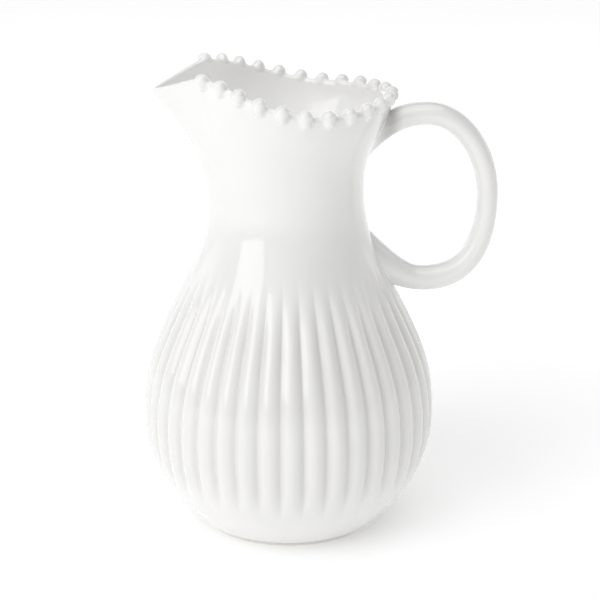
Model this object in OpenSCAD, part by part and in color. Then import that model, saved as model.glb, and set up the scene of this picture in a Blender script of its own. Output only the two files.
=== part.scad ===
/* [Body] */

// Widest diameter of the belly
belly_d = 142; // [120:1:170]

// Height at which the belly is widest
belly_z = 56.5; // [50:0.5:75]

// Diameter of the narrowest part of the neck
neck_d = 72.4; // [64:0.2:84]

// Height at which the neck is narrowest
neck_z = 165; // [155:1:175]

// Diameter of the base
foot_d = 90; // [70:1:100]

// Wall thickness
wall = 4.2; // [3:0.1:6]

/* [Mouth and spout] */

// Height of the lowest stretch of the rim, behind the middle of each side
rim_z = 210.6; // [200:0.2:235]

// How much higher the rim stands where the spout begins
shoulder_rise = 14.6; // [0:0.2:20]

// How much higher the rim stands above the handle
rear_rise = 2; // [0:0.2:6]

// Width of the mouth from side to side
mouth_w = 88; // [80:1:100]

// Distance from the axis to the rim above the handle
rear_reach = 49.4; // [44:0.2:56]

// Distance from the axis to the tip of the spout
spout_reach = 64; // [56:0.2:76]

/* [Flutes] */

// Number of raised flutes round the belly
flute_count = 40; // [24:4:48]

// Depth of the grooves between the flutes
flute_depth = 1.9; // [0.5:0.1:2.5]

/* [Rim beads] */

// Number of beads, an odd number so that one stands at the rear
bead_count = 23; // [15:2:25]

// Width of a bead
bead_w = 6.6; // [5:0.1:8]

// Length of a bead along the wall
bead_l = 8.8; // [7:0.1:11]

/* [Handle] */

// Distance from the axis to the outside of the grip
handle_reach = 100.2; // [92:0.2:112]

// Height of the top of the handle
handle_top = 208.4; // [200:0.2:216]

// Height of the bottom of the handle
handle_bottom = 115.3; // [108:0.2:130]

// Thickness of the grip at its upright middle
grip_t = 10.2; // [8:0.2:14]

// Thickness of the handle at its top
upper_t = 11; // [8:0.2:16]

// Thickness of the handle at its bottom
lower_t = 12.2; // [8:0.2:16]

// Width of the grip across the hand
grip_w = 13; // [10:0.5:18]

/* [View] */

// Which piece to show

/* [Hidden] */

bead_names = [for (i = [1:bead_count]) str("rim_bead_", i < 10 ? "0" : "", i)];

glaze_colour = "#f4f3f0";
bare_colour = "#e6ddcf";

belly_r = belly_d / 2;
neck_r = neck_d / 2;
foot_r = foot_d / 2;

// how the belly rounds down to the base and eases up into the neck
belly_round = 2.3;
neck_ease = 1.06;

// the ring that the jug stands on, and the floor above it
foot_h = 2.5;
foot_wall = 6;
floor_t = 5.5;

// extra thickness of the wall at the floor, gone at the belly
base_extra = 4;

// flutes rise out of the base and fade into the neck between these heights
flute_low = [18, 42];
flute_high = [103, 136];

// heights where the mouth begins to open, at the rear and sides and under the spout
flare_z = 169;
keel_z = 60;
flare_ease = 1.2;
keel_power = 6.2;

// directions round the mouth, in degrees from the handle or from the spout
rear_turn = 106;
beak_turn = 49;
beak_nose = 2.2;
keel_turn = 62;
shoulder_at = 28.5;
shoulder_start = 20;
shoulder_end = 113;

// height lost from the first bead out to the tip of the spout, and how hollow that slope is
tip_drop = 9.9;
tip_curve = 1.22;

// facets: columns round the body, rows up its outside and inside
columns = flute_count * 4;
outer_rows = 24;
inner_rows = 11;
waist_row = 15;

// the beads straddle the rim, this far in from the outer wall and below the edge
bead_inset = 2;
bead_drop = 1.7;

// where the centre line of the handle meets the neck and the belly
root_top = [44.3, 199];
root_low = [46.3, 128.8];

// the two ovals on the wall that the handle spreads into: middle height, half height, half width
pad_top = [193.4, 12.2, 10];
pad_low = [131.2, 13.4, 10.5];

// middle of the arch at the top and bottom, and how full its outer corners are
arch_x = 65.8;
round_top = 0.54;
round_low = 0.64;

// where the flares begin, in steps of the centre line from each end, and how far they pull back
flare_step = 8;
pull_top = 11.5;
pull_low = 7.5;

grip_sides = 24;
segment_steps = 10;
pad_steps = 6;
cap_rings = 4;

function clamp01(x) = min(1, max(0, x));
function smooth(a, b, x) = let (t = clamp01((x - a) / (b - a))) t * t * (3 - 2 * t);
function mix(a, b, t) = a + (b - a) * t;

// ---------- the outline of the jug ----------

// direction a, in degrees from the handle, folded to 0 (handle) .. 180 (spout)
function fold(a) = let (b = (a % 360 + 360) % 360) b > 180 ? 360 - b : b;

// radius of the turned shape, without spout or flutes
function turned_r(z) =
    z < belly_z
        ? foot_r + (belly_r - foot_r) * (1 - pow((belly_z - z) / belly_z, belly_round))
        : let (t = pow(clamp01((z - belly_z) / (neck_z - belly_z)), neck_ease))
          neck_r + (belly_r - neck_r) * (1 + cos(180 * t)) / 2;

// radius of the mouth in plan: round at the sides, drawn back to the handle, a beak at the spout
function mouth_r(a, inset = 0) =
    let (
        f = fold(a),
        side = mouth_w / 2 - inset,
        back = (rear_reach - mouth_w / 2) * pow(max(0, 1 - f / rear_turn), 2),
        off_tip = sqrt(pow(180 - f, 2) + pow(beak_nose, 2)),
        beak = cos(max(0, beak_turn - off_tip)),
        to_reach = cos(beak_turn - beak_nose) * spout_reach / (mouth_w / 2)
    )
    side / beak * mix(to_reach, 1, smooth(0, beak_turn, off_tip)) + back;

// height of the rim in a direction
function edge_z(a) =
    let (from_spout = 180 - fold(a))
    rim_z + shoulder_rise * (1 - smooth(shoulder_start, shoulder_end, from_spout))
        + rear_rise * smooth(shoulder_end, 180, from_spout)
        - tip_drop * pow(clamp01(1 - from_spout / shoulder_at), tip_curve);

// how far the wall has opened from the neck to the mouth, 0 to 1
function opening(a, z) =
    let (
        spout = 1 - smooth(0, keel_turn, 180 - fold(a)),
        top = edge_z(a),
        t_wall = pow(clamp01((z - flare_z) / (top - flare_z)), flare_ease),
        t_keel = clamp01((z - keel_z) / (top - keel_z))
    )
    mix((1 - cos(180 * t_wall)) / 2, pow(t_keel, keel_power), spout);

function plain_r(a, z, inset = 0) =
    turned_r(z) - inset + opening(a, z) * (mouth_r(a, inset) - neck_r + inset);

// rounded ridges with a narrow groove between each two
function groove(a, z) =
    flute_depth * (1 - abs(cos(a * flute_count / 2)))
        * smooth(flute_low[0], flute_low[1], z) * (1 - smooth(flute_high[0], flute_high[1], z));

function wall_r(a, z) = plain_r(a, z) - groove(a, z);

function on_wall(a, z) = [wall_r(a, z) * cos(a), wall_r(a, z) * sin(a), z];
function on_edge(a) = on_wall(a, edge_z(a));

// ---------- polyhedra made of rings of points ----------

// rings: lists of the same number of points; both ends are closed on a centre point
module ringed_solid(rings, first, last) {
    n = len(rings[0]);
    m = len(rings);
    points = concat([for (r = rings) each r], [first, last]);
    sides = [for (j = [0:m - 2], i = [0:n - 1])
        let (k = (i + 1) % n, p = j * n, q = (j + 1) * n)
        each [[p + i, q + k, p + k], [p + i, q + i, q + k]]];
    first_cap = [for (i = [0:n - 1]) [m * n, i, (i + 1) % n]];
    last_cap = [for (i = [0:n - 1]) [m * n + 1, (m - 1) * n + (i + 1) % n, (m - 1) * n + i]];
    polyhedron(points, concat(sides, first_cap, last_cap));
}

// ---------- body: turned shell with flutes, neck and spout ----------

// row j of n on the way up from z0 to the rim; the first ones are level
function row_z(a, j, n, z0) =
    let (level = waist_row / outer_rows, t = j / n)
    t < level
        ? mix(z0, neck_z, t / level)
        : mix(neck_z, edge_z(a), (t - level) / (1 - level));

function outer_ring(j) = [for (i = [0:columns - 1])
    let (a = 360 * i / columns)
    on_wall(a, row_z(a, j, outer_rows, foot_h))];

function inner_ring(j) = [for (i = [0:columns - 1])
    let (
        a = 360 * i / columns,
        z = row_z(a, inner_rows - j, inner_rows, foot_h + floor_t),
        r = plain_r(a, z, wall) - base_extra * (1 - smooth(foot_h + floor_t, belly_z, z))
    )
    [r * cos(a), r * sin(a), z]];

module body() {
    rings = concat(
        [for (j = [0:outer_rows]) outer_ring(j)],
        [for (j = [0:inner_rows]) inner_ring(j)]
    );
    color(glaze_colour)
        ringed_solid(rings, [0, 0, foot_h], [0, 0, foot_h + floor_t]);
}

// ---------- foot ring ----------

module foot_ring() {
    color(bare_colour)
        rotate_extrude($fn = 120)
            polygon([[foot_r - foot_wall, 0], [foot_r, 0],
                [turned_r(foot_h), foot_h], [foot_r - foot_wall, foot_h]]);
}

// ---------- handle: a swept oval that spreads into a pad on the wall at each end ----------

grip_mid = [handle_reach - grip_t / 2, (handle_top + handle_bottom) / 2];
arch_top = [arch_x, handle_top - upper_t / 2];
arch_low = [arch_x, handle_bottom + lower_t / 2];
arch_w = grip_mid[0] - arch_x;

// the centre line as four curves in the plane of the spout, [start, pull, pull, end]
handle_curves = [
    [root_top, root_top + [6, 2], arch_top - [8, 0], arch_top],
    [arch_top, arch_top + [round_top * arch_w, 0],
        grip_mid + [0, round_top * (arch_top[1] - grip_mid[1])], grip_mid],
    [grip_mid, grip_mid - [0, round_low * (grip_mid[1] - arch_low[1])],
        arch_low + [round_low * arch_w, 0], arch_low],
    [arch_low, arch_low - [8, 0], root_low + [5, -4.5], root_low]
];

function curve_at(c, t) =
    let (s = 1 - t)
    s * s * s * c[0] + 3 * s * s * t * c[1] + 3 * s * t * t * c[2] + t * t * t * c[3];

handle_line = concat(
    [for (c = handle_curves, k = [0:segment_steps - 1]) curve_at(c, k / segment_steps)],
    [root_low]
);
line_end = len(handle_line) - 1;

function unit(v) = v / norm(v);
function line_dir(i) = unit(handle_line[min(line_end, i + 1)] - handle_line[max(0, i - 1)]);

// oval section i of the handle
function section(i) =
    let (
        p = handle_line[i],
        dir = line_dir(i),
        out = [-dir[1], dir[0]],
        arm_t = p[1] > grip_mid[1] ? upper_t : lower_t,
        from_mid = clamp01(abs(p[1] - grip_mid[1]) / (arch_top[1] - grip_mid[1])),
        half_t = mix(grip_t, arm_t, from_mid * from_mid) / 2
    )
    [for (k = [0:grip_sides - 1])
        let (b = 360 * k / grip_sides, q = p + out * half_t * cos(b))
        [q[0], grip_w / 2 * sin(b), q[1]]];

// moves a point along X on to the outer wall of the jug
function to_wall(p, tries = 4, a = 0) =
    tries == 0
        ? [wall_r(a, p[2]) * cos(a), p[1], p[2]]
        : to_wall(p, tries - 1, asin(p[1] / wall_r(a, p[2])));

// pad outline on the wall, shrunk by scale; turn is 1 at the top and -1 at the bottom
function pad_ring(pad, turn, scale = 1) = [for (k = [0:grip_sides - 1])
    let (b = 360 * k / grip_sides)
    to_wall([0, scale * pad[2] * sin(b), pad[0] + turn * scale * pad[1] * cos(b)])];

// rings of the curved flare from a pad to section i, pulled back from it by the vector given
function flare_rings(pad, i, pull) =
    let (end = section(i))
    [for (j = [0:pad_steps - 1])
        let (t = j / pad_steps)
        [for (k = [0:grip_sides - 1])
            let (via = end[k] + [pull[0], 0, pull[1]])
            pow(1 - t, 2) * pad[k] + 2 * t * (1 - t) * via + t * t * end[k]]];

function backwards(list) = [for (i = [len(list) - 1:-1:0]) list[i]];

module handle() {
    last_step = line_end - flare_step;
    rings = concat(
        [for (k = [1:cap_rings - 1]) pad_ring(pad_top, 1, k / cap_rings)],
        flare_rings(pad_ring(pad_top, 1), flare_step, -pull_top * line_dir(flare_step)),
        [for (i = [flare_step:last_step]) section(i)],
        backwards(flare_rings(pad_ring(pad_low, -1), last_step, pull_low * line_dir(last_step))),
        [for (k = [cap_rings - 1:-1:1]) pad_ring(pad_low, -1, k / cap_rings)]
    );
    color(glaze_colour)
        ringed_solid([for (r = rings) backwards(r)],
            to_wall([0, 0, pad_top[0]]), to_wall([0, 0, pad_low[0]]));
}

// ---------- beads along the rim ----------

first_bead = 180 - shoulder_at;
edge_step = 1;
edge_angles = [for (a = [0:edge_step:first_bead]) a];

// distance along the rim from the rear bead to each direction in turn
function run_lengths(i = 0, total = 0) =
    i >= len(edge_angles) ? [] : concat([[total, edge_angles[i]]],
        i + 1 >= len(edge_angles) ? [] : run_lengths(i + 1,
            total + norm(on_edge(edge_angles[i + 1]) - on_edge(edge_angles[i]))));

edge_table = run_lengths();
edge_length = edge_table[len(edge_table) - 1][0];
bead_gap = edge_length / ((bead_count - 1) / 2);

// direction of bead k, counted from the rear one at 0
function bead_angle(k) = sign(k) * lookup(abs(k) * bead_gap, edge_table);

// a rounded pin with the seat for the wall and rim cut from its inner lower corner
module bead(k) {
    a = bead_angle(k);
    corner = on_edge(a);
    along = unit(on_edge(a + edge_step) - on_edge(a - edge_step));
    up = unit(corner - on_wall(a, edge_z(a) - bead_l));
    out = unit(cross(along, up));
    lift = unit(cross(out, along));
    bead_r = bead_w / 2;
    straight = bead_l - bead_w;
    color(glaze_colour) multmatrix([
        [along[0], out[0], lift[0], corner[0]],
        [along[1], out[1], lift[1], corner[1]],
        [along[2], out[2], lift[2], corner[2]],
        [0, 0, 0, 1]
    ])
        difference() {
            translate([0, -bead_inset, -bead_drop]) {
                translate([0, 0, straight / 2])
                    sphere(r = bead_r, $fn = 48);
                translate([0, 0, -straight / 2])
                    sphere(r = bead_r, $fn = 48);
                cylinder(r = bead_r, h = straight, center = true, $fn = 48);
            }
            translate([-bead_l, -2 * bead_l, -2 * bead_l])
                cube([2 * bead_l, 2 * bead_l, 2 * bead_l]);
        }
}

body();
handle();
foot_ring();
for (i = [1:bead_count])
    bead(i - (bead_count + 1) / 2);
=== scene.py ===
import math

import bmesh
import bpy
import numpy as np
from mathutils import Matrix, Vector


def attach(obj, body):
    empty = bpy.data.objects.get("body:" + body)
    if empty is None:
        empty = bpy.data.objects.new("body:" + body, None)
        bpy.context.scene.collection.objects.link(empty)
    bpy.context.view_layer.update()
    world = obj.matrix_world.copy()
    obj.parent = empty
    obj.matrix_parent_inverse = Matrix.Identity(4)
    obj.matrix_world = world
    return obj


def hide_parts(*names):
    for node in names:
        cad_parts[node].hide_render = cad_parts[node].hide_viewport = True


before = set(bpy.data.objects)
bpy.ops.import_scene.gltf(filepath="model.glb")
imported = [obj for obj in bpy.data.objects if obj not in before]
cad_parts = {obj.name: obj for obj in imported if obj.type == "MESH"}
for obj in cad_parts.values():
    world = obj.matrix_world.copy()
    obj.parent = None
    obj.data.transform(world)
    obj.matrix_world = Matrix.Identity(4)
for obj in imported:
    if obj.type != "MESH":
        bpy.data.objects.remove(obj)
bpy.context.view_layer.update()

MM = 0.001

# ---------- driving sizes, in millimetres and degrees ----------
# _R is a radius and _Z a height above the table. Directions go round the jug from the handle (0) to the
# spout (180), and a _TURN is an angle from the one or the other.

# turned shape of the wall
BELLY_R = 71.0
BELLY_Z = 56.5
NECK_R = 36.2
NECK_Z = 165.0
FOOT_R = 45.0
WALL = 4.2
# how full the belly is below its widest height, and how high up it stays full
BELLY_ROUND = 2.3
NECK_EASE = 1.06

# plan of the mouth: a circle that is a little longer towards the handle, with a beak
MOUTH_W = 88.0
REAR_REACH = 49.4
REAR_TURN = 106.0
SPOUT_REACH = 65.3
BEAK_TURN = 49.0
# how rounded the beak's tip is at the lower and at the upper of two heights
BEAK_NOSE = (13.0, 2.2)
NOSE_Z = (160.0, 212.0)

# the wall flares to the mouth from FLARE_Z, and under the spout it leaves the belly in a keel from KEEL_Z
FLARE_Z = 169.0
FLARE_EASE = 1.2
KEEL_Z = 60.0
KEEL_POWER = 6.2
KEEL_TURN = 62.0

# height of the edge: lowest just behind the sides, a little higher at the handle, highest beside the
# spout's tip, which dips
RIM_Z = 210.6
REAR_RISE = 2.0
SHOULDER_RISE = 14.6
SHOULDER_START = 20.0
SHOULDER_END = 113.0
TIP_DROP = 9.9
TIP_TURN = 28.5
TIP_CURVE = 1.22

# the lip of the spout is thinner than the wall
SPOUT_THIN = 1.7
SPOUT_THIN_TURN = (12.0, 60.0)

# flutes: they fade in and out between these heights, and the groove between two has a soft bottom
FLUTE_COUNT = 40
FLUTE_DEPTH = 2.0
FLUTE_LOW = (18.0, 42.0)
FLUTE_HIGH = (103.0, 136.0)
GROOVE_SOFT = 0.16

# base: the foot ring's height and width, the floor inside, and how much thicker the wall is near it
FOOT_H = 2.5
FOOT_WALL = 6.0
FLOOR_Z = FOOT_H + 5.5
BASE_EXTRA = 4.0
# rounded corner between the inner wall and the floor
CORNER_R = 6.0
CORNER_Z = FLOOR_Z + CORNER_R

# underside, as radius and height: a shallow dish with a small step beside the foot ring
UNDERSIDE = ((10, 3.6), (22, 3.5), (32, 3.3), (36.5, 2.95), (38.2, 2.7), (39, FOOT_H))
# the glaze ends in a soft roll just above the foot ring: distances inwards from the wall, and up
GLAZE_ROLL = ((1.2, 0.0), (0.35, 0.12))
# rounded edges of the foot ring, as distance outwards from its inner or outer face, and height
FOOT_INNER_EDGE = ((0, 1.6), (0.25, 0.55), (0.9, 0.1), (1.9, 0))
FOOT_OUTER_EDGE = ((-1.6, 0), (-0.7, 0.12), (-0.15, 0.6), (0.25, 1.4))
# the ring reaches this far up into the body, and its top stays this far inside the wall
FOOT_SEAM_Z = FOOT_H + 0.3
FOOT_SEAM_IN = (0.15, 0.9)

# beads: the first is this far round from the spout
BEAD_COUNT = 23
FIRST_BEAD_TURN = 31.0
# radius at the upper and at the lower end of the drop
BEAD_R = 3.2
BEAD_LOW_R = 2.4
# whole length near the handle and towards the spout
BEAD_LENGTH = (6.9, 8.2)
BEAD_LENGTH_TURN = (15.0, 80.0)
# size of the beads at the spout, compared with the others
SPOUT_BEAD = 0.85
SPOUT_BEAD_TURN = (115.0, 149.0)
# middle of the upper end, outwards from the middle of the wall and up from the top of the lip
BEAD_OUT = 1.4
BEAD_UP = 0.25
# how much further out the lower end is
BEAD_LEAN = 0.7
# beads differ a little, as hand-made ones do: in size (a share) and in place
BEAD_SIZE_VARIES = 0.02
BEAD_PLACE_VARIES = 0.12
BEAD_SEED = 7
# fillet of glaze round each bead; beyond it the bead's skirt lies just inside the wall, and then sinks
BEAD_BLEND = 1.6
SKIRT_INSET = 0.015
SKIRT_SINK = 0.35
# where the skirt starts to sink and where it ends, in fillet widths from the drop
SKIRT_START = 0.85
SKIRT_REACH = 1.7
# each bead's surface is found along rays from a point this far outwards from the middle of the wall
RAY_CENTRE_OUT = 0.2
# more of the rays run along the wall than across it
RAY_SCALE = (1.0, 0.5, 1.1)
RAY_LENGTH = 14.0
RAY_HALVINGS = 24
RAY_LEVELS = 5

# handle: outside of the loop, its thickness at the grip and on the two arms, and its width
HANDLE_REACH = 100.2
HANDLE_TOP = 208.4
HANDLE_BOTTOM = 115.3
GRIP_T = 10.2
UPPER_T = 11.0
LOWER_T = 12.2
GRIP_W = 13.0
# the loop's line, as x and z: its ends, where it is highest and lowest, and how round it is beyond there
ROOT_TOP = np.array([44.3, 199.0])
ROOT_LOW = np.array([46.3, 128.8])
ARCH_X = 65.8
ROUND_TOP = 0.54
ROUND_LOW = 0.64
# how far it keeps its direction at its ends, and at its highest and lowest points
ROOT_TOP_PULL = np.array([6.0, 2.0])
ROOT_LOW_PULL = np.array([5.0, -4.5])
ARM_PULL = np.array([8.0, 0.0])
# each end spreads into an oval pad on the wall: middle height, half height, half width
PAD_TOP = (193.3, 12.4, 10.5)
PAD_LOW = (131.6, 14.0, 9.0)
# from a pad's edge the surface first follows the wall towards this smaller copy of the pad
PAD_INWARD = 0.55
# for each pad: how much of that way it goes, and how far it lifts off the wall
FILLET_TOP = (0.6, 0.0)
FILLET_LOW = (0.15, 1.3)
# how gently it then meets the arm
FLARE_PULL_TOP = 11.5
FLARE_PULL_LOW = 7.5
# pads are closed inside the wall, this deep at the edge and in the middle, with rings of these scales
PAD_EDGE_SUNK = 0.6
PAD_SUNK = 2.5
PAD_RINGS = (0.3, 0.6, 0.85)
# painted shade at the upper root, in the crease between the handle and the wall: it fades out between these
# distances from the wall, and this far down
ROOT_SHADE_REACH = (2.0, 14.0)
ROOT_SHADE_Z = 8.0

# rows of points
LOW_ROWS = 92
NECK_ROWS = 56
LIP_ROWS = 17
INNER_ROWS = 64
# up to this height the rows are level, and above it they follow the edge
LEVEL_Z = NECK_Z - 26
FIRST_ROW_Z = FOOT_H + 0.6
# the inner rows are a little closer together near the lip
INNER_SPACING = 1.05
# the corner's rows, as angles, and the floor's, as radii
CORNER_TURNS = (15, 30, 45, 60, 75, 90)
FLOOR_RADII = (24, 12, 4)
# rows after the start of the lip over which the inside's painted light, a whiter colour, fades in
INSIDE_ROWS = (8, 24)
# half a flute in steps, which get shorter towards the groove
FLUTE_STEPS = np.array([0, 0.2, 0.39, 0.56, 0.7, 0.81, 0.89, 0.95])
HANDLE_SIDES = 72
HANDLE_STEPS = 50
FLARE_ROWS = 22
# the plain arm starts this far along the first curve, and ends as far from the other end
FLARE_END = 0.8


# ---------- outline of the jug ----------
# These are the CAD's formulas, but the keel is rounder and the lip of the spout thinner.

def clamp01(x):
    return np.clip(x, 0.0, 1.0)


def smooth(a, b, x):
    t = clamp01((x - a) / (b - a))
    return t * t * (3 - 2 * t)


def mix(a, b, t):
    return a + (b - a) * t


def cosd(a):
    return np.cos(np.radians(a))


def sind(a):
    return np.sin(np.radians(a))


def fold(a):
    """Direction in degrees from the handle, folded to 0 (handle) .. 180 (spout)."""
    b = np.mod(a, 360.0)
    return np.where(b > 180.0, 360.0 - b, b)


def turned_r(z):
    """Radius of the outer wall without mouth, spout and flutes."""
    below = clamp01((BELLY_Z - z) / BELLY_Z)
    low = FOOT_R + (BELLY_R - FOOT_R) * (1 - below ** BELLY_ROUND)
    t = clamp01((z - BELLY_Z) / (NECK_Z - BELLY_Z)) ** NECK_EASE
    high = NECK_R + (BELLY_R - NECK_R) * (1 + cosd(180 * t)) / 2
    return np.where(z < BELLY_Z, low, high)


def mouth_r(a, z, inset=0.0):
    """Radius of the mouth in plan; the beak of the spout is rounder lower down."""
    f = fold(a)
    nose = mix(*BEAK_NOSE, smooth(*NOSE_Z, z))
    side = MOUTH_W / 2 - inset
    back = (REAR_REACH - MOUTH_W / 2) * np.maximum(0.0, 1 - f / REAR_TURN) ** 2
    off_tip = np.sqrt((180 - f) ** 2 + nose ** 2)
    beak = cosd(np.maximum(0.0, BEAK_TURN - off_tip))
    to_reach = cosd(BEAK_TURN - nose) * SPOUT_REACH / (MOUTH_W / 2)
    return side / beak * mix(to_reach, 1.0, smooth(0.0, BEAK_TURN, off_tip)) + back


def edge_z(a):
    """Height of the top of the lip."""
    from_spout = 180 - fold(a)
    shoulder = SHOULDER_RISE * (1 - smooth(SHOULDER_START, SHOULDER_END, from_spout))
    rear = REAR_RISE * smooth(SHOULDER_END, 180.0, from_spout)
    tip = TIP_DROP * clamp01(1 - from_spout / TIP_TURN) ** TIP_CURVE
    return RIM_Z + shoulder + rear - tip


def opening(a, z):
    """How far the wall has opened from the turned shape to the plan of the mouth, from 0 to 1."""
    spout = 1 - smooth(0.0, KEEL_TURN, 180 - fold(a))
    top = edge_z(a)
    t_wall = clamp01((z - FLARE_Z) / (top - FLARE_Z)) ** FLARE_EASE
    t_keel = clamp01((z - KEEL_Z) / (top - KEEL_Z))
    return mix((1 - cosd(180 * t_wall)) / 2, t_keel ** KEEL_POWER, spout)


def inner_inset(a, z):
    """Distance from the outer to the inner wall in plan, which thins towards the lip of the spout."""
    at_spout = 1 - smooth(*SPOUT_THIN_TURN, 180 - fold(a))
    return WALL - SPOUT_THIN * at_spout * smooth(NECK_Z, RIM_Z, z)


def plain_r(a, z, inset=0.0):
    """Radius of the wall without flutes."""
    return turned_r(z) - inset + opening(a, z) * (mouth_r(a, z, inset) - NECK_R + inset)


def inner_r(a, z):
    """Radius of the inner wall; the wall is thicker near the floor."""
    return plain_r(a, z, inner_inset(a, z)) - BASE_EXTRA * (1 - smooth(FLOOR_Z, BELLY_Z, z))


def groove(a, z):
    """Depth of the narrow groove between two rounded flutes."""
    c = cosd(a * FLUTE_COUNT / 2)
    crown = math.sqrt(1 + GROOVE_SOFT ** 2) - GROOVE_SOFT
    height = (np.sqrt(c * c + GROOVE_SOFT ** 2) - GROOVE_SOFT) / crown
    strength = smooth(*FLUTE_LOW, z) * (1 - smooth(*FLUTE_HIGH, z))
    return FLUTE_DEPTH * (1 - height) * strength


def outer_r(a, z):
    return plain_r(a, z) - groove(a, z)


def at(a, r, z):
    """Points from direction, radius and height, with the last axis x, y, z."""
    return np.stack([r * cosd(a), r * sind(a), z + 0 * r], axis=-1)


def level_ring(a, r, z):
    """A ring of points with one radius and one height."""
    return at(a, np.full_like(a, r), z)


def across_wall(a, z):
    """The plain wall's outer point (r, z) at a height, and the inner point (r, z) square across."""
    step = 0.25
    r = plain_r(a, z)
    slope = (plain_r(a, z + step) - plain_r(a, z - step)) / (2 * step)
    thick = r - plain_r(a, z, inner_inset(a, z))
    z_in = z + thick * slope / (1 + slope ** 2)
    r_in = plain_r(a, z_in, inner_inset(a, z_in))
    return r, z, r_in, z_in


def lip_height(a):
    """Height of the outer wall where the rounded lip begins; a few rounds bring its top to the edge."""
    top = edge_z(a)
    z = top - WALL / 2
    for _ in range(4):
        r, _, r_in, z_in = across_wall(a, z)
        half = np.hypot(r - r_in, z - z_in) / 2
        z = top - half - (z_in - z) / 2
    return z


def lip_point(a, lip_z, turn):
    """Point on the rounded lip: turn 0 at the outer wall, 180 at the inner wall."""
    r, z, r_in, z_in = across_wall(a, lip_z)
    mid_r, mid_z = (r + r_in) / 2, (z + z_in) / 2
    half_r, half_z = (r - r_in) / 2, (z - z_in) / 2
    return at(a, mid_r + half_r * cosd(turn) - half_z * sind(turn),
              mid_z + half_z * cosd(turn) + half_r * sind(turn))


# ---------- mesh making ----------

def new_object(name, points, faces, attributes=None):
    """A smooth-shaded mesh object from points in millimetres, with named values on its points."""
    mesh = bpy.data.meshes.new(name)
    mesh.from_pydata((np.asarray(points) * MM).tolist(), [], faces)
    mesh.validate()
    for key, values in (attributes or {}).items():
        layer = mesh.attributes.new(key, "FLOAT", "POINT")
        layer.data.foreach_set("value", np.asarray(values, np.float32))
    mesh.shade_smooth()
    mesh.update()
    obj = bpy.data.objects.new(name, mesh)
    bpy.context.scene.collection.objects.link(obj)
    return obj


def strip(first, second, count):
    """Quads between two rings of points, given by the number of each one's first point."""
    i = np.arange(count)
    k = (i + 1) % count
    return np.stack([first + i, first + k, second + k, second + i], axis=1).tolist()


def fan(centre, points, next_points):
    """Triangles round a centre point."""
    return np.stack([np.full(len(points), centre), points, next_points], axis=1).tolist()


def ringed_object(name, rings, first, last, attributes=None):
    """A closed skin over rings of points, with a centre point at each end."""
    rings = np.asarray(rings)
    m, n, _ = rings.shape
    i = np.arange(n)
    k = (i + 1) % n
    last_ring = (m - 1) * n
    faces = []
    for j in range(m - 1):
        faces += strip(j * n, (j + 1) * n, n)
    faces += fan(m * n, k, i)
    faces += fan(m * n + 1, last_ring + i, last_ring + k)
    points = np.concatenate([rings.reshape(-1, 3), [first, last]])
    return new_object(name, points, faces, attributes)


# ---------- body ----------

def column_directions():
    """Directions of the body's columns of points, closer together at the narrow grooves."""
    steps = np.concatenate([FLUTE_STEPS, 2 - np.append(FLUTE_STEPS, 1)[:0:-1]])
    flute_turn = 360 / FLUTE_COUNT
    return (np.arange(FLUTE_COUNT)[:, None] * flute_turn + steps[None, :] * flute_turn / 2).ravel()


def outside_rings(a, lip_z):
    """From the underside, round the foot and up the fluted wall to the start of the lip."""
    foot_edge = turned_r(FOOT_H)
    rings = [level_ring(a, r, z) for r, z in UNDERSIDE]
    rings += [level_ring(a, foot_edge - inward, FOOT_H + up) for inward, up in GLAZE_ROLL]
    for j in range(LOW_ROWS):
        z = np.full_like(a, mix(FIRST_ROW_Z, LEVEL_Z, j / LOW_ROWS))
        rings.append(at(a, outer_r(a, z), z))
    for j in range(NECK_ROWS):
        z = mix(LEVEL_Z, lip_z, j / NECK_ROWS)
        rings.append(at(a, outer_r(a, z), z))
    return rings


def inside_rings(a, lip_z):
    """From the end of the lip down the inner wall, round the corner and across the floor."""
    top = across_wall(a, lip_z)[3]
    rings = []
    for j in range(1, INNER_ROWS + 1):
        z = mix(top, CORNER_Z, (j / INNER_ROWS) ** INNER_SPACING)
        rings.append(at(a, inner_r(a, z), z))
    wall_r = inner_r(a, np.full_like(a, CORNER_Z))
    for turn in CORNER_TURNS:
        rings.append(at(a, wall_r - CORNER_R * (1 - cosd(turn)), CORNER_Z - CORNER_R * sind(turn)))
    rings += [level_ring(a, r, FLOOR_Z) for r in FLOOR_RADII]
    return rings


def make_body():
    a = column_directions()
    lip_z = lip_height(a)
    outside = outside_rings(a, lip_z)
    lip = [lip_point(a, lip_z, turn) for turn in np.linspace(0, 180, LIP_ROWS)]
    rings = np.asarray(outside + lip + inside_rings(a, lip_z))
    row = np.arange(len(rings))[:, None] + np.zeros(len(a))
    # painted shade: the grooves' depth, outside only, says where the grooves are painted a darker grey
    depth = groove(a, rings[..., 2]) / FLUTE_DEPTH * (row < len(outside))
    # painted light: the inside of the mouth is painted whiter, fading in over the lip and the top of the
    # inner wall
    inside = smooth(*INSIDE_ROWS, row - len(outside))
    # the last two values are those of the underside's and the floor's middle
    attributes = {
        "painted_shade_amount": np.append(depth.ravel(), [0, 0]),
        "inside": np.append(inside.ravel(), [0, 1]),
    }
    return ringed_object("pitcher_body", rings, (0, 0, UNDERSIDE[0][1]), (0, 0, FLOOR_Z), attributes)


# ---------- foot ring ----------

def make_foot_ring():
    """The bare ring that the jug stands on; its section is a closed line."""
    a = np.arange(0, 360, 2.0)
    inner = FOOT_R - FOOT_WALL
    wall = turned_r(FOOT_H)
    section = [(inner, FOOT_SEAM_Z)]
    section += [(inner + out, z) for out, z in FOOT_INNER_EDGE]
    section += [(FOOT_R + out, z) for out, z in FOOT_OUTER_EDGE]
    section += [(wall - FOOT_SEAM_IN[0], FOOT_H), (wall - FOOT_SEAM_IN[1], FOOT_SEAM_Z)]
    rings = [level_ring(a, r, z) for r, z in section]
    n = len(a)
    faces = []
    for j in range(len(rings)):
        faces += strip(j * n, (j + 1) % len(rings) * n, n)
    return new_object("pitcher_foot_ring", np.concatenate(rings), faces)


# ---------- handle ----------

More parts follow.
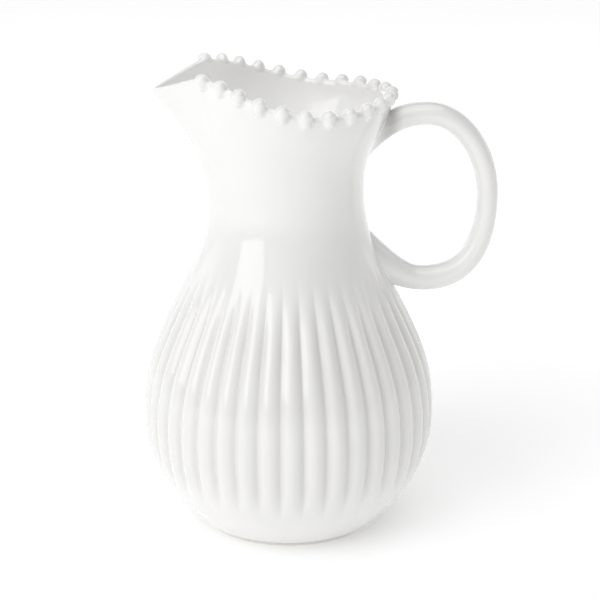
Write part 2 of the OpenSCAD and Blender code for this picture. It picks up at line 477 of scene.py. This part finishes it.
GRIP_MID = np.array([HANDLE_REACH - GRIP_T / 2, (HANDLE_TOP + HANDLE_BOTTOM) / 2])
ARCH_TOP = np.array([ARCH_X, HANDLE_TOP - UPPER_T / 2])
ARCH_LOW = np.array([ARCH_X, HANDLE_BOTTOM + LOWER_T / 2])
ARCH_W = np.array([GRIP_MID[0] - ARCH_X, 0])
RISE = np.array([0, ARCH_TOP[1] - GRIP_MID[1]])
FALL = np.array([0, GRIP_MID[1] - ARCH_LOW[1]])

HANDLE_CURVES = (
    (ROOT_TOP, ROOT_TOP + ROOT_TOP_PULL, ARCH_TOP - ARM_PULL, ARCH_TOP),
    (ARCH_TOP, ARCH_TOP + ROUND_TOP * ARCH_W, GRIP_MID + ROUND_TOP * RISE, GRIP_MID),
    (GRIP_MID, GRIP_MID - ROUND_LOW * FALL, ARCH_LOW + ROUND_LOW * ARCH_W, ARCH_LOW),
    (ARCH_LOW, ARCH_LOW - ARM_PULL, ROOT_LOW + ROOT_LOW_PULL, ROOT_LOW),
)
# angles round the handle's section
SIDES = np.linspace(0, 2 * math.pi, HANDLE_SIDES, endpoint=False)


def bezier(curve, t):
    s = 1 - t
    return s ** 3 * curve[0] + 3 * s * s * t * curve[1] + 3 * s * t * t * curve[2] + t ** 3 * curve[3]


def handle_section(p, direction):
    """Oval section of the plain arm round a point (x, z) of its line."""
    out = np.array([-direction[1], direction[0]])
    arm_t = UPPER_T if p[1] > GRIP_MID[1] else LOWER_T
    from_mid = clamp01(abs(p[1] - GRIP_MID[1]) / RISE[1])
    half_t = mix(GRIP_T, arm_t, from_mid ** 2) / 2
    q = p[None, :] + out[None, :] * (half_t * np.cos(SIDES))[:, None]
    return np.stack([q[:, 0], GRIP_W / 2 * np.sin(SIDES), q[:, 1]], axis=1)


def to_wall(y, z):
    """Points of the outer wall with these sideways and height values, on the handle's side."""
    a = np.zeros_like(y)
    for _ in range(8):
        a = np.degrees(np.arcsin(y / plain_r(a, z)))
    r = outer_r(a, z)
    return np.stack([r * cosd(a), y, z], axis=-1)


def pad(pad_size, turn, scale=1.0, sunk=0.0):
    """Outline of a pad on the wall, or scaled about its middle; turn is 1 for the upper, -1 for the lower."""
    z, half_height, half_width = pad_size
    outline = to_wall(scale * half_width * np.sin(SIDES), z + turn * scale * half_height * np.cos(SIDES))
    return outline - [sunk, 0, 0]


def sunk_pad(pad_size, turn):
    """Rings that close a pad inside the wall, from its middle to its edge."""
    rings = [pad(pad_size, turn, scale, PAD_SUNK) for scale in PAD_RINGS]
    return rings + [pad(pad_size, turn, 1.0, PAD_EDGE_SUNK)]


def flare(pad_size, turn, fillet, section, direction, pull):
    """Rings from a pad's outline to a section of the arm."""
    hug, lift = fillet
    start = pad(pad_size, turn)
    inward = pad(pad_size, turn, PAD_INWARD) - start
    back = -turn * pull * np.array([direction[0], 0, direction[1]])
    curve = (start, start + inward * hug + [lift, 0, 0], section + back, section)
    return [bezier(curve, j / FLARE_ROWS) for j in range(FLARE_ROWS)]


def make_handle():
    line = [bezier(c, k / HANDLE_STEPS) for c in HANDLE_CURVES for k in range(HANDLE_STEPS)]
    line = np.array(line + [ROOT_LOW])
    directions = np.gradient(line, axis=0)
    directions /= np.linalg.norm(directions, axis=1)[:, None]
    first = int(FLARE_END * HANDLE_STEPS)
    last = len(line) - 1 - first
    arm = [handle_section(line[i], directions[i]) for i in range(first, last + 1, 2)]
    upper = sunk_pad(PAD_TOP, 1)
    upper += flare(PAD_TOP, 1, FILLET_TOP, arm[0], directions[first], FLARE_PULL_TOP)
    lower = sunk_pad(PAD_LOW, -1)
    lower += flare(PAD_LOW, -1, FILLET_LOW, arm[-1], directions[last], FLARE_PULL_LOW)
    # from the lower pad to the upper one, each ring turned so that its faces look outwards
    rings = np.asarray(lower + arm[::-1] + upper[::-1])[:, ::-1]
    from_wall = rings[..., 0] - ROOT_TOP[0]
    ring_z = rings[..., 2].mean(axis=1)[:, None]
    # painted shade in the crease at the upper root, where the handle meets the wall
    painted_shade = (1 - smooth(*ROOT_SHADE_REACH, from_wall)) * smooth(ROOT_TOP[1] - ROOT_SHADE_Z, ROOT_TOP[1], ring_z)
    return ringed_object("pitcher_handle", rings, rings[0].mean(axis=0), rings[-1].mean(axis=0),
                         {"painted_shade_amount": np.append(painted_shade.ravel(), [0, 1])})


# ---------- beads along the rim ----------

def bead_directions():
    """Directions of the beads: one above the handle, and the others at equal distances along the edge."""
    a = np.arange(0, 180 - FIRST_BEAD_TURN + 0.01, 0.25)
    edge = at(a, plain_r(a, edge_z(a)), edge_z(a))
    run = np.concatenate([[0], np.cumsum(np.linalg.norm(np.diff(edge, axis=0), axis=1))])
    on_a_side = (BEAD_COUNT - 1) // 2
    k = np.arange(-on_a_side, on_a_side + 1)
    return np.sign(k) * np.interp(abs(k) * run[-1] / on_a_side, run, a)


def ray_directions():
    """Unit vectors, and the triangles between them, of a flattened and subdivided icosahedron."""
    bm = bmesh.new()
    bmesh.ops.create_icosphere(bm, subdivisions=RAY_LEVELS, radius=1.0)
    points = np.array([v.co[:] for v in bm.verts]) * RAY_SCALE
    points /= np.linalg.norm(points, axis=1)[:, None]
    faces = [[v.index for v in f.verts] for f in bm.faces]
    bm.free()
    return points, faces


def vertex_normals(points, faces):
    tri = np.asarray(faces)
    p, q, r = (points[tri[:, j]] for j in range(3))
    across = np.cross(q - p, r - p)
    total = np.zeros_like(points)
    for j in range(3):
        np.add.at(total, tri[:, j], across)
    return total / np.linalg.norm(total, axis=1)[:, None]


class BeadShape:
    """A drop on the lip, joined to the wall by a fillet.

    Its coordinates are along the edge, across the wall (positive outwards) and up. They start in the middle
    of the wall, where the rounded lip begins.
    """

    def __init__(self, direction, rng):
        self.direction = direction
        lip_z = lip_height(direction)
        self.wall_r, _, r_in, z_in = across_wall(direction, lip_z)
        self.half_wall = np.hypot(self.wall_r - r_in, lip_z - z_in) / 2
        step = 0.5
        rise = lip_height(direction + step) - lip_height(direction - step)
        self.edge_slope = rise / (2 * math.radians(step) * self.wall_r)
        size = 1 + rng.uniform(-BEAD_SIZE_VARIES, BEAD_SIZE_VARIES)
        size *= mix(1.0, SPOUT_BEAD, smooth(*SPOUT_BEAD_TURN, fold(direction)))
        length = mix(*BEAD_LENGTH, smooth(*BEAD_LENGTH_TURN, fold(direction)))
        self.upper = np.array([0, BEAD_OUT, self.half_wall + BEAD_UP])
        self.upper += rng.uniform(-BEAD_PLACE_VARIES, BEAD_PLACE_VARIES, 3)
        self.axis = np.array([0, BEAD_LEAN, BEAD_R + BEAD_LOW_R - length])
        self.radii = (BEAD_R * size, BEAD_LOW_R * size)

    def drop_distance(self, p):
        """Distance of points from the drop, a tapered capsule."""
        t = clamp01(((p - self.upper) @ self.axis) / (self.axis @ self.axis))
        return np.linalg.norm(p - self.upper - t[:, None] * self.axis, axis=1) - mix(*self.radii, t)

    def wall_distance(self, p):
        """Distance of points from the wall with its rounded lip."""
        above = (p[:, 2] - self.edge_slope * p[:, 0]) / math.hypot(1, self.edge_slope)
        return np.where(above > 0, np.hypot(above, p[:, 1]), np.abs(p[:, 1])) - self.half_wall

    def distance(self, p, sink):
        """Distance from the drop and the wall in one; past the fillet the skirt sinks into the wall."""
        drop = self.drop_distance(p)
        sunk = sink * smooth(SKIRT_START, SKIRT_REACH, drop / BEAD_BLEND)
        wall = self.wall_distance(p) + SKIRT_INSET + sunk
        near = np.maximum(BEAD_BLEND - np.abs(drop - wall), 0) / BEAD_BLEND
        return np.minimum(drop, wall) - near * near * BEAD_BLEND / 4

    def skin(self, rays, sink):
        """Points on the jug where rays from inside the drop leave the joined shape, found by halving."""
        centre = np.array([0, RAY_CENTRE_OUT, self.upper[2] + self.axis[2] / 2])
        low = np.zeros(len(rays))
        high = np.full(len(rays), RAY_LENGTH)
        for _ in range(RAY_HALVINGS):
            reach = (low + high) / 2
            p = centre + rays * reach[:, None]
            outside = (self.distance(p, sink) > 0.0) | (self.drop_distance(p) > BEAD_BLEND * SKIRT_REACH)
            high = np.where(outside, reach, high)
            low = np.where(outside, low, reach)
        return self.on_jug(p)

    def on_jug(self, p):
        """Bends points from the bead's coordinates onto the jug."""
        a = self.direction + np.degrees(p[:, 0] / self.wall_r)
        up = p[:, 2] - self.edge_slope * p[:, 0]
        above = np.maximum(up, 0.0)
        below = np.minimum(up, 0.0)
        lip_z = lip_height(a)
        r, z, r_in, z_in = across_wall(a, lip_z)
        upright = (r - r_in) / np.hypot(r - r_in, z - z_in)
        r, z, r_in, z_in = across_wall(a, lip_z + below * upright)
        width = np.hypot(r - r_in, z - z_in)
        across_r, across_z = (r - r_in) / width, (z - z_in) / width
        across = p[:, 1] * width / (2 * self.half_wall)
        return at(a, (r + r_in) / 2 + across_r * across - across_z * above,
                  (z + z_in) / 2 + across_z * across + across_r * above)


def make_bead(name, direction, rays, faces, rng):
    """The skirt's shading is that of the wall it lies on, so that no edge shows where it sinks."""
    shape = BeadShape(direction, rng)
    bead = new_object(name, shape.skin(rays, SKIRT_SINK), faces)
    normals = vertex_normals(shape.skin(rays, 0.0), faces)
    bead.data.normals_split_custom_set_from_vertices(normals.tolist())
    return bead


# ---------- materials: colours are linear red, green and blue, scales and depths are for metres ----------

WHITE = (1, 1, 1)
GLAZE_COLOURS = ((0.865, 0.862, 0.85), (0.885, 0.882, 0.872))
# painted light: the inside of the mouth is painted whiter than the outside glaze
INSIDE_PAINTED_LIGHT_COLOUR = (0.985, 0.98, 0.97)
# painted shade: grey painted into the grooves between the flutes
GROOVE_PAINTED_SHADE_COLOUR = (0.80, 0.79, 0.775)
# painted shade: dark grey painted into the crease at the handle's upper root
HANDLE_ROOT_PAINTED_SHADE_COLOUR = (0.56, 0.55, 0.53)
# most of a noise's values lie between these
NOISE_SPAN = (0.3, 0.7)
# amount of painted shade, from 0 to 1, over which its shade colour comes in
PAINTED_SHADE_SPAN = (0.3, 1.0)
GLAZE_MOTTLE_SCALE = 28.0
GLAZE_ROUGHNESS = (0.07, 0.11)
GLAZE_ROUGHNESS_SCALE = 60.0
GLAZE_IOR = 1.5
COAT_WEIGHT = 0.6
COAT_ROUGHNESS = 0.02
# slow waves in the glaze, and its fine orange peel: noise scale, strength and depth
GLAZE_WAVES = (55.0, 0.25, 0.0004)
GLAZE_PEEL = (700.0, 0.10, 0.00008)

CLAY_COLOURS = ((0.80, 0.73, 0.63), (0.72, 0.64, 0.54))
CLAY_GRAIN_SCALE = 900.0
CLAY_GRAIN_SPAN = (0.35, 0.7)
# strength and depth of the grain
CLAY_GRAIN = (0.35, 0.0003)
CLAY_ROUGHNESS = 0.85
CLAY_IOR = 1.45
# glaze on the foot ring: colour, roughness, the heights where it starts, and how far its edge wavers
FOOT_GLAZE_COLOUR = (0.875, 0.87, 0.855)
FOOT_GLAZE_ROUGHNESS = 0.2
FOOT_GLAZE_EDGE = (0.00065, 0.00085)
FOOT_GLAZE_WAVER = 0.0006
FOOT_GLAZE_SCALE = 90.0

FLOOR_COLOURS = ((0.93, 0.93, 0.93), (0.94, 0.94, 0.94))
FLOOR_NOISE_SCALE = 3.0
FLOOR_ROUGHNESS = 0.9
FLOOR_SPECULAR = 0.1
# the floor's own light at two distances from the jug's middle
FLOOR_GLOW = (0.26, 0.43)
FLOOR_GLOW_AT = (0.12, 0.5)


def node_material(name):
    """A new material with its node tree and its shader."""
    material = bpy.data.materials.new(name)
    material.use_nodes = True
    nodes = material.node_tree.nodes
    nodes.clear()
    output = nodes.new("ShaderNodeOutputMaterial")
    shader = nodes.new("ShaderNodeBsdfPrincipled")
    material.node_tree.links.new(shader.outputs["BSDF"], output.inputs["Surface"])
    return material, material.node_tree, shader


def object_coords(tree):
    return tree.nodes.new("ShaderNodeTexCoord").outputs["Object"]


def point_value(tree, name):
    """A value that the mesh holds on its points; it is 0 on a mesh that has none of that name."""
    node = tree.nodes.new("ShaderNodeAttribute")
    node.attribute_name = name
    return node.outputs["Fac"]


def noise(tree, coords, scale, detail=2.0, roughness=0.5):
    node = tree.nodes.new("ShaderNodeTexNoise")
    node.inputs["Scale"].default_value = scale
    node.inputs["Detail"].default_value = detail
    node.inputs["Roughness"].default_value = roughness
    tree.links.new(coords, node.inputs["Vector"])
    return node.outputs["Fac"]


def ramp(tree, value, low, high, to_low=0.0, to_high=1.0, shape="LINEAR"):
    """Maps low .. high to to_low .. to_high, and holds the ends."""
    node = tree.nodes.new("ShaderNodeMapRange")
    node.interpolation_type = shape
    node.inputs["From Min"].default_value = low
    node.inputs["From Max"].default_value = high
    node.inputs["To Min"].default_value = to_low
    node.inputs["To Max"].default_value = to_high
    tree.links.new(value, node.inputs["Value"])
    return node.outputs["Result"]


def mix_colour(tree, factor, colour_a, colour_b):
    """Each colour is a tuple or the output of a node."""
    node = tree.nodes.new("ShaderNodeMix")
    node.data_type = "RGBA"
    factor_in, a_in, b_in, mixed = node.inputs[0], node.inputs[6], node.inputs[7], node.outputs[2]
    tree.links.new(factor, factor_in)
    for socket, colour in ((a_in, colour_a), (b_in, colour_b)):
        if isinstance(colour, tuple):
            socket.default_value = (*colour, 1)
        else:
            tree.links.new(colour, socket)
    return mixed


def bump(tree, height, strength, distance, before=None):
    node = tree.nodes.new("ShaderNodeBump")
    node.inputs["Strength"].default_value = strength
    node.inputs["Distance"].default_value = distance
    tree.links.new(height, node.inputs["Height"])
    if before is not None:
        tree.links.new(before, node.inputs["Normal"])
    return node.outputs["Normal"]


def glaze_material(name, shade_colour=None):
    """Glossy white glaze; with a shade colour it is painted darker where the mesh holds painted shade, and
    painted whiter inside the mouth as painted light.
    """
    material, tree, shader = node_material(name)
    coords = object_coords(tree)
    mottle = ramp(tree, noise(tree, coords, GLAZE_MOTTLE_SCALE, 3.0), *NOISE_SPAN)
    colour = mix_colour(tree, mottle, *GLAZE_COLOURS)
    if shade_colour is not None:
        # painted shade: darker grey where the mesh's painted shade amount says so, in the grooves and at the
        # handle's upper root
        painted_shade = ramp(tree, point_value(tree, "painted_shade_amount"), *PAINTED_SHADE_SPAN)
        colour = mix_colour(tree, painted_shade, colour, shade_colour)
        # painted light: whiter inside the mouth
        colour = mix_colour(tree, point_value(tree, "inside"), colour, INSIDE_PAINTED_LIGHT_COLOUR)
    tree.links.new(colour, shader.inputs["Base Color"])
    roughness = ramp(tree, noise(tree, coords, GLAZE_ROUGHNESS_SCALE), *NOISE_SPAN, *GLAZE_ROUGHNESS)
    tree.links.new(roughness, shader.inputs["Roughness"])
    shader.inputs["IOR"].default_value = GLAZE_IOR
    shader.inputs["Coat Weight"].default_value = COAT_WEIGHT
    shader.inputs["Coat Roughness"].default_value = COAT_ROUGHNESS
    shader.inputs["Coat IOR"].default_value = GLAZE_IOR
    wave_scale, *wave_size = GLAZE_WAVES
    peel_scale, *peel_size = GLAZE_PEEL
    waves = bump(tree, noise(tree, coords, wave_scale, 1.0), *wave_size)
    peel = bump(tree, noise(tree, coords, peel_scale), *peel_size, waves)
    tree.links.new(peel, shader.inputs["Normal"])
    tree.links.new(waves, shader.inputs["Coat Normal"])
    return material


def clay_material():
    """Bare clay underneath; outside, the glaze runs down to just above the table, with an uneven edge."""
    material, tree, shader = node_material("bare_clay")
    coords = object_coords(tree)
    grain = noise(tree, coords, CLAY_GRAIN_SCALE, 4.0, 0.65)
    clay = mix_colour(tree, ramp(tree, grain, *CLAY_GRAIN_SPAN), *CLAY_COLOURS)
    split = tree.nodes.new("ShaderNodeSeparateXYZ")
    tree.links.new(coords, split.inputs[0])
    height = tree.nodes.new("ShaderNodeMath")
    height.operation = "MULTIPLY_ADD"
    tree.links.new(noise(tree, coords, FOOT_GLAZE_SCALE), height.inputs[0])
    height.inputs[1].default_value = FOOT_GLAZE_WAVER
    tree.links.new(split.outputs["Z"], height.inputs[2])
    glazed = ramp(tree, height.outputs[0], *FOOT_GLAZE_EDGE)
    tree.links.new(mix_colour(tree, glazed, clay, FOOT_GLAZE_COLOUR), shader.inputs["Base Color"])
    roughness = ramp(tree, glazed, 0.0, 1.0, CLAY_ROUGHNESS, FOOT_GLAZE_ROUGHNESS)
    tree.links.new(roughness, shader.inputs["Roughness"])
    shader.inputs["IOR"].default_value = CLAY_IOR
    tree.links.new(bump(tree, grain, *CLAY_GRAIN), shader.inputs["Normal"])
    return material


def floor_material():
    """A plain white light table, which glows more further from the jug."""
    material, tree, shader = node_material("floor_white")
    coords = object_coords(tree)
    colour = mix_colour(tree, noise(tree, coords, FLOOR_NOISE_SCALE), *FLOOR_COLOURS)
    tree.links.new(colour, shader.inputs["Base Color"])
    shader.inputs["Roughness"].default_value = FLOOR_ROUGHNESS
    shader.inputs["Specular IOR Level"].default_value = FLOOR_SPECULAR
    shader.inputs["Emission Color"].default_value = (*WHITE, 1)
    away = tree.nodes.new("ShaderNodeVectorMath")
    away.operation = "LENGTH"
    tree.links.new(coords, away.inputs[0])
    glow = ramp(tree, away.outputs["Value"], *FLOOR_GLOW_AT, *FLOOR_GLOW)
    tree.links.new(glow, shader.inputs["Emission Strength"])
    return material


# ---------- pieces ----------

def add_piece(obj, node, material):
    obj.data.materials.append(material)
    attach(obj, "root")
    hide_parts(node)


def make_beads():
    material = glaze_material("white_glaze")
    rng = np.random.default_rng(BEAD_SEED)
    rays, faces = ray_directions()
    for number, direction in enumerate(bead_directions(), 1):
        bead = make_bead(f"pitcher_bead_{number:02d}", direction, rays, faces, rng)
        add_piece(bead, f"rim_bead_{number:02d}", material)


add_piece(make_body(), "body", glaze_material("white_glaze_fluted", GROOVE_PAINTED_SHADE_COLOUR))
add_piece(make_foot_ring(), "foot_ring", clay_material())
add_piece(make_handle(), "handle", glaze_material("white_glaze_handle", HANDLE_ROOT_PAINTED_SHADE_COLOUR))
make_beads()


# ---------- floor, light and camera ----------
# Azimuth 0 is the camera's side (-Y) and 90 the right side (+X). Light sizes and places are in metres.

# radii of the floor's rings, in millimetres
FLOOR_RINGS = (400.0, 1200.0, 4000.0, 12000.0)

# soft bright areas of the room: azimuth, elevation and strength
ROOM_LIGHTS = (
    (0, 45, 0.44),
    (-45, 45, 0.55),
    (135, 8, 0.68),
    (180, 8, 0.85),
    (-135, 8, 0.66),
    (180, 45, 0.1),
    (0, 90, 0.46),
)
ROOM_LIGHT_SPREAD = 45
# brightness of the room all round at the horizon, and the height (as a sine) where it ends
ROOM_HORIZON = 0.55
ROOM_HORIZON_TOP = 0.5

CAMERA_LENS = 108
CAMERA_SENSOR = 36
CAMERA_PLACE = (-0.0171, -0.8254, 0.4026)
CAMERA_TILT = 70.5
CAMERA_PAN = -1.57


def make_floor():
    a = np.arange(0, 360, 5.0)
    n = len(a)
    i = np.arange(n)
    centre = len(FLOOR_RINGS) * n
    points = np.concatenate([level_ring(a, r, 0.0) for r in FLOOR_RINGS] + [[[0, 0, 0]]])
    faces = fan(centre, i, (i + 1) % n)
    for j in range(len(FLOOR_RINGS) - 1):
        faces += strip((j + 1) * n, j * n, n)
    floor = new_object("floor", points, faces)
    floor.data.materials.append(floor_material())


def towards(azimuth, elevation):
    """Unit vector from the jug."""
    return sind(azimuth) * cosd(elevation), -cosd(azimuth) * cosd(elevation), sind(elevation)


def area_light(name, azimuth, elevation, distance, size, power, target=(0, 0, 0.12), spread=180):
    """A rectangular light that looks at the target from a distance; size is its width and height."""
    away = Vector(towards(azimuth, elevation))
    data = bpy.data.lights.new(name, "AREA")
    data.shape = "RECTANGLE"
    data.size, data.size_y = size
    data.energy = power
    data.spread = math.radians(spread)
    light = bpy.data.objects.new(name, data)
    light.location = Vector(target) + away * distance
    light.rotation_euler = (-away).to_track_quat("-Z", "Y").to_euler()
    light.visible_camera = False
    bpy.context.scene.collection.objects.link(light)


def room_brightness(tree):
    """The horizon's brightness, with the room's bright areas added to it."""
    direction = tree.nodes.new("ShaderNodeTexCoord").outputs["Generated"]
    split = tree.nodes.new("ShaderNodeSeparateXYZ")
    tree.links.new(direction, split.inputs[0])
    total = ramp(tree, split.outputs["Z"], 0.0, ROOM_HORIZON_TOP, ROOM_HORIZON, 0.0, "SMOOTHSTEP")
    for azimuth, elevation, strength in ROOM_LIGHTS:
        near = tree.nodes.new("ShaderNodeVectorMath")
        near.operation = "DOT_PRODUCT"
        near.inputs[1].default_value = towards(azimuth, elevation)
        tree.links.new(direction, near.inputs[0])
        edge = cosd(ROOM_LIGHT_SPREAD)
        light = ramp(tree, near.outputs["Value"], edge, 1.0, 0.0, strength, "SMOOTHSTEP")
        add = tree.nodes.new("ShaderNodeMath")
        tree.links.new(total, add.inputs[0])
        tree.links.new(light, add.inputs[1])
        total = add.outputs[0]
    return total


def make_world():
    """The camera sees plain white; the jug is lit by soft bright areas of the room round it."""
    world = bpy.data.worlds.new("studio")
    world.use_nodes = True
    tree = world.node_tree
    tree.nodes.clear()
    output = tree.nodes.new("ShaderNodeOutputWorld")
    room = tree.nodes.new("ShaderNodeBackground")
    room.inputs["Color"].default_value = (*WHITE, 1)
    tree.links.new(room_brightness(tree), room.inputs["Strength"])
    backdrop = tree.nodes.new("ShaderNodeBackground")
    backdrop.inputs["Color"].default_value = (*WHITE, 1)
    path = tree.nodes.new("ShaderNodeLightPath")
    choice = tree.nodes.new("ShaderNodeMixShader")
    tree.links.new(path.outputs["Is Camera Ray"], choice.inputs[0])
    tree.links.new(room.outputs[0], choice.inputs[1])
    tree.links.new(backdrop.outputs[0], choice.inputs[2])
    tree.links.new(choice.outputs[0], output.inputs["Surface"])
    bpy.context.scene.world = world


def make_camera():
    data = bpy.data.cameras.new("camera")
    data.lens = CAMERA_LENS
    data.sensor_width = CAMERA_SENSOR
    camera = bpy.data.objects.new("camera", data)
    camera.location = CAMERA_PLACE
    camera.rotation_euler = (math.radians(CAMERA_TILT), 0, math.radians(CAMERA_PAN))
    bpy.context.scene.collection.objects.link(camera)
    bpy.context.scene.camera = camera


make_floor()
area_light("softbox_left", azimuth=-52, elevation=28, distance=1.3, size=(0.80, 1.1), power=4.3)
area_light("softbox_top", azimuth=0, elevation=85, distance=1.4, size=(1.4, 1.4), power=6.0)
area_light("mouth_fill", azimuth=0, elevation=90, distance=0.05, size=(0.05, 0.05), power=0.0055,
           target=(-0.008, 0, 0.2), spread=90)
make_world()
make_camera()

bpy.context.scene.view_settings.view_transform = "Standard"
bpy.context.scene.view_settings.look = "None"
